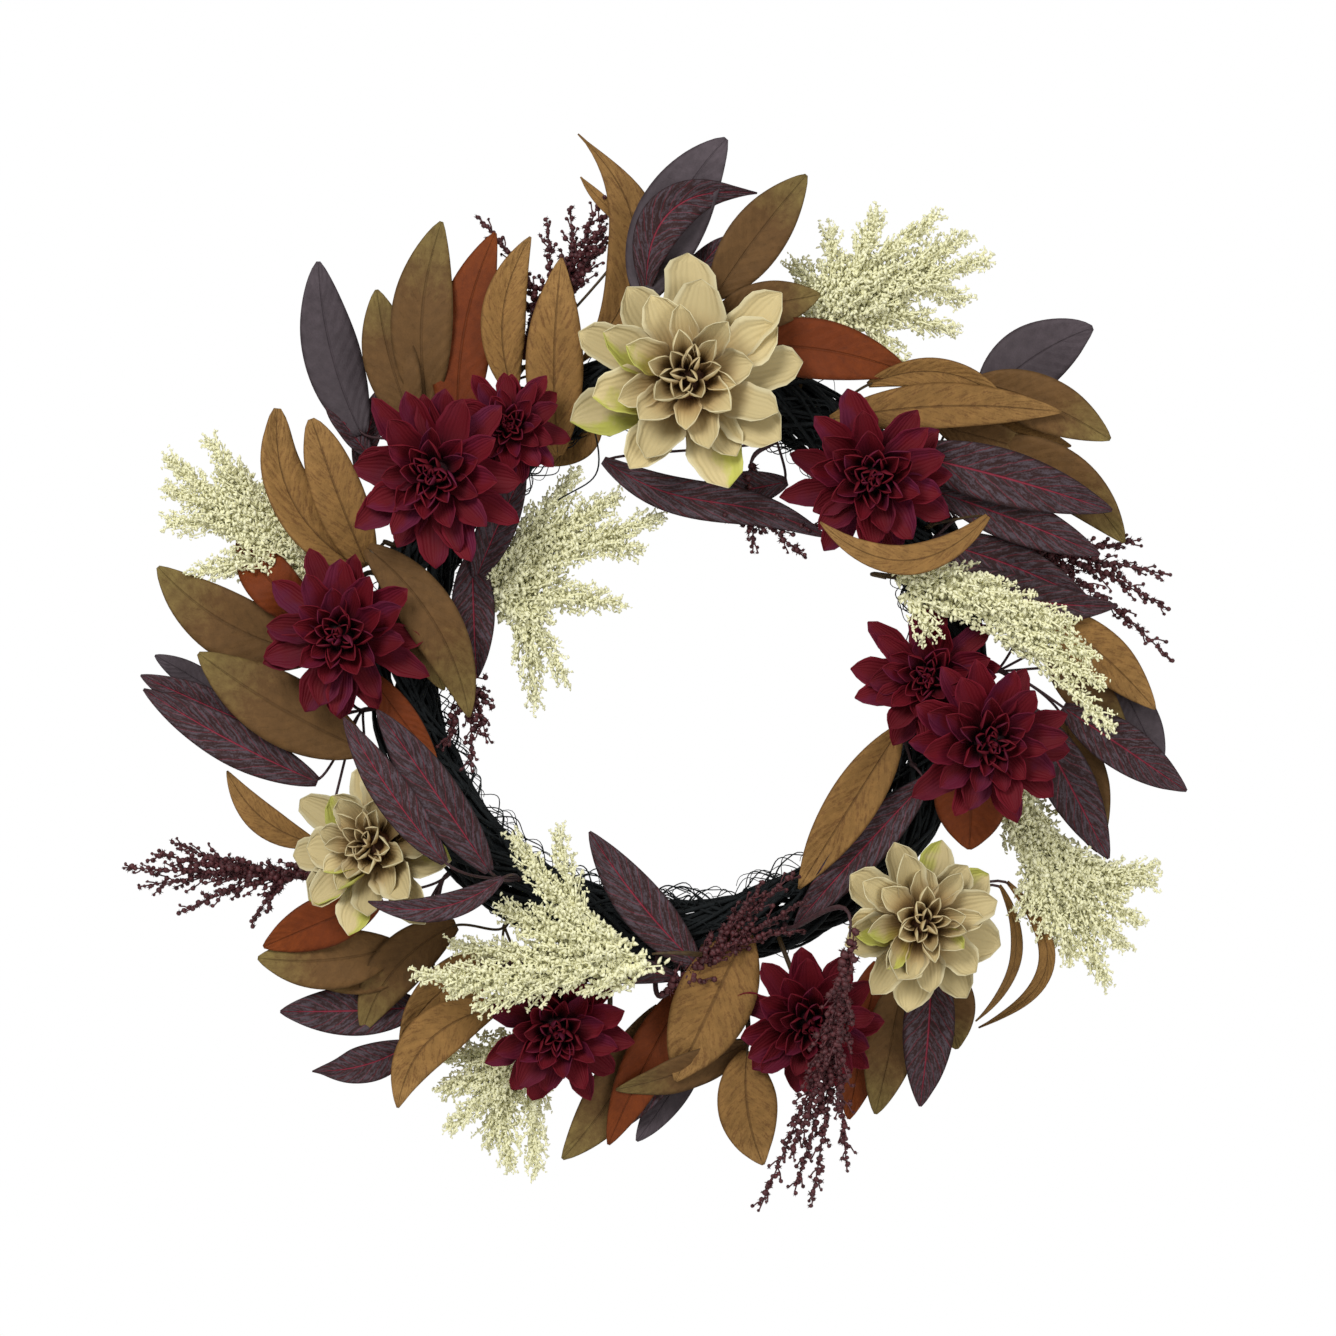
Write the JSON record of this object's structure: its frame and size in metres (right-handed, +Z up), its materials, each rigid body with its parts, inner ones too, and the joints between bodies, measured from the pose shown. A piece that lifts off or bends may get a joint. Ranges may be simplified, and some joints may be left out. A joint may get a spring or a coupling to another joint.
{
  "type": "door wreath",
  "caption": "Round autumn door wreath: a wound vine ring with fabric dahlias, leaves, cream plumes and berry sprays, and a wire loop to hang it by.",
  "frame": {"origin": "bearing point inside the top of the hanger loop, where a door hook carries the wreath", "axes": "+Z up, -Y out of the front of the wreath, +Y towards the door, +X to the right as seen from the front"},
  "size_m": [0.5949, 0.1105, 0.6027],
  "materials": {
    "vine": "dark wound angel vine, matt",
    "wire": "plain steel wire",
    "stem": "moulded plastic over wire",
    "petal_cream": "satin polyester petals, brown heart",
    "petal_red": "satin polyester petals, wine red",
    "leaf_olive": "printed polyester leaf, olive brown",
    "leaf_tan": "printed polyester leaf, distressed tan gold",
    "leaf_rust": "printed polyester leaf, rust",
    "leaf_plum": "printed polyester leaf, plum with red midrib",
    "plume": "flocked cream plume",
    "berry": "burgundy moulded berries"
  },
  "bodies": {
    "hanger": {"hanger_loop": "wire"},
    "wreath": {"berry_pick_bottom": "berry", "berry_pick_bottom_inner": "berry", "berry_pick_left": "berry", "berry_pick_lower_left": "berry", "berry_pick_right": "berry", "berry_pick_top": "berry", "berry_pick_top_left": "berry", "cream_dahlia_left_stem": "stem", "cream_dahlia_right_stem": "stem", "cream_dahlia_top_stem": "stem", "leaf_pick_bottom_inner": "leaf_plum", "leaf_pick_bottom_rust": "leaf_rust", "leaf_pick_bottom_tan": "leaf_tan", "leaf_pick_left": "leaf_olive", "leaf_pick_left_arch": "leaf_olive", "leaf_pick_left_fold": "leaf_tan", "leaf_pick_left_inner": "leaf_plum", "leaf_pick_lower_left": "leaf_tan", "leaf_pick_lower_left_rim": "leaf_olive", "leaf_pick_lower_right": "leaf_plum", "leaf_pick_right": "leaf_olive", "leaf_pick_right_curl": "leaf_tan", "leaf_pick_right_inner": "leaf_tan", "leaf_pick_right_plum": "leaf_plum", "leaf_pick_right_rust": "leaf_rust", "leaf_pick_top": "leaf_plum", "leaf_pick_top_left": "leaf_rust", "leaf_pick_top_right": "leaf_tan", "leaf_pick_upper_left": "leaf_olive", "leaf_pick_upper_left_inner": "leaf_plum", "leaf_pick_upper_right": "leaf_olive", "plume_bottom": "plume", "plume_left": "plume", "plume_lower_left": "plume", "plume_lower_right": "plume", "plume_right": "plume", "plume_top_right": "plume", "plume_upper_left_inner": "plume", "red_dahlia_left_stem": "stem", "red_dahlia_lower_left_stem": "stem", "red_dahlia_lower_right_stem": "stem", "red_dahlia_right_stem": "stem", "red_dahlia_upper_left_stem": "stem", "red_dahlia_upper_right_stem": "stem", "red_mum_right_stem": "stem", "red_mum_upper_left_stem": "stem", "vine_ring": "vine", "wire_hoop": "wire"},
    "cream_dahlia_top_head": {"cream_dahlia_top": "petal_cream"},
    "cream_dahlia_left_head": {"cream_dahlia_left": "petal_cream"},
    "cream_dahlia_right_head": {"cream_dahlia_right": "petal_cream"},
    "red_dahlia_upper_left_head": {"red_dahlia_upper_left": "petal_red"},
    "red_mum_upper_left_head": {"red_mum_upper_left": "petal_red"},
    "red_dahlia_left_head": {"red_dahlia_left": "petal_red"},
    "red_dahlia_lower_left_head": {"red_dahlia_lower_left": "petal_red"},
    "red_dahlia_lower_right_head": {"red_dahlia_lower_right": "petal_red"},
    "red_mum_right_head": {"red_mum_right": "petal_red"},
    "red_dahlia_right_head": {"red_dahlia_right": "petal_red"},
    "red_dahlia_upper_right_head": {"red_dahlia_upper_right": "petal_red"}
  },
  "joints": [
    {"name": "wreath_swing", "type": "hinge", "parent": "hanger", "child": "wreath", "pos_m": [0, 0, -0.0348], "axis": [-1, 0, 0], "range_deg": [0, 40]},
    {"name": "cream_dahlia_top_turn", "type": "hinge", "parent": "wreath", "child": "cream_dahlia_top_head", "pos_m": [0.00548, -0.051, -0.0373], "axis": [0, -0.9945, 0.1045], "continuous": true},
    {"name": "cream_dahlia_left_turn", "type": "hinge", "parent": "wreath", "child": "cream_dahlia_left_head", "pos_m": [-0.16439, -0.053, -0.29887], "axis": [-0.3522, -0.9135, 0.2034], "continuous": true},
    {"name": "cream_dahlia_right_turn", "type": "hinge", "parent": "wreath", "child": "cream_dahlia_right_head", "pos_m": [0.13262, -0.051, -0.34025], "axis": [0.1801, -0.9781, 0.104], "continuous": true},
    {"name": "red_dahlia_upper_left_turn", "type": "hinge", "parent": "wreath", "child": "red_dahlia_upper_left_head", "pos_m": [-0.13384, -0.069, -0.08838], "axis": [-0.1205, -0.9903, -0.0696], "continuous": true},
    {"name": "red_mum_upper_left_turn", "type": "hinge", "parent": "wreath", "child": "red_mum_upper_left_head", "pos_m": [-0.09516, -0.052, -0.06299], "axis": [0.0476, -0.9903, 0.1308], "continuous": true},
    {"name": "red_dahlia_left_turn", "type": "hinge", "parent": "wreath", "child": "red_dahlia_left_head", "pos_m": [-0.18676, -0.051, -0.17862], "axis": [-0.1045, -0.9945, 0], "continuous": true},
    {"name": "red_dahlia_lower_left_turn", "type": "hinge", "parent": "wreath", "child": "red_dahlia_lower_left_head", "pos_m": [-0.06767, -0.041, -0.3973], "axis": [0, -0.9848, -0.1736], "continuous": true},
    {"name": "red_dahlia_lower_right_turn", "type": "hinge", "parent": "wreath", "child": "red_dahlia_lower_right_head", "pos_m": [0.07374, -0.047, -0.39298], "axis": [0.0301, -0.9848, -0.171], "continuous": true},
    {"name": "red_mum_right_turn", "type": "hinge", "parent": "wreath", "child": "red_mum_right_head", "pos_m": [0.14171, -0.051, -0.20193], "axis": [-0.171, -0.9848, 0.0301], "continuous": true},
    {"name": "red_dahlia_right_turn", "type": "hinge", "parent": "wreath", "child": "red_dahlia_right_head", "pos_m": [0.17081, -0.069, -0.23737], "axis": [0.1308, -0.9903, -0.0476], "continuous": true},
    {"name": "red_dahlia_upper_right_turn", "type": "hinge", "parent": "wreath", "child": "red_dahlia_upper_right_head", "pos_m": [0.10885, -0.051, -0.08919], "axis": [-0.0358, -0.9945, -0.0982], "continuous": true}
  ]
}
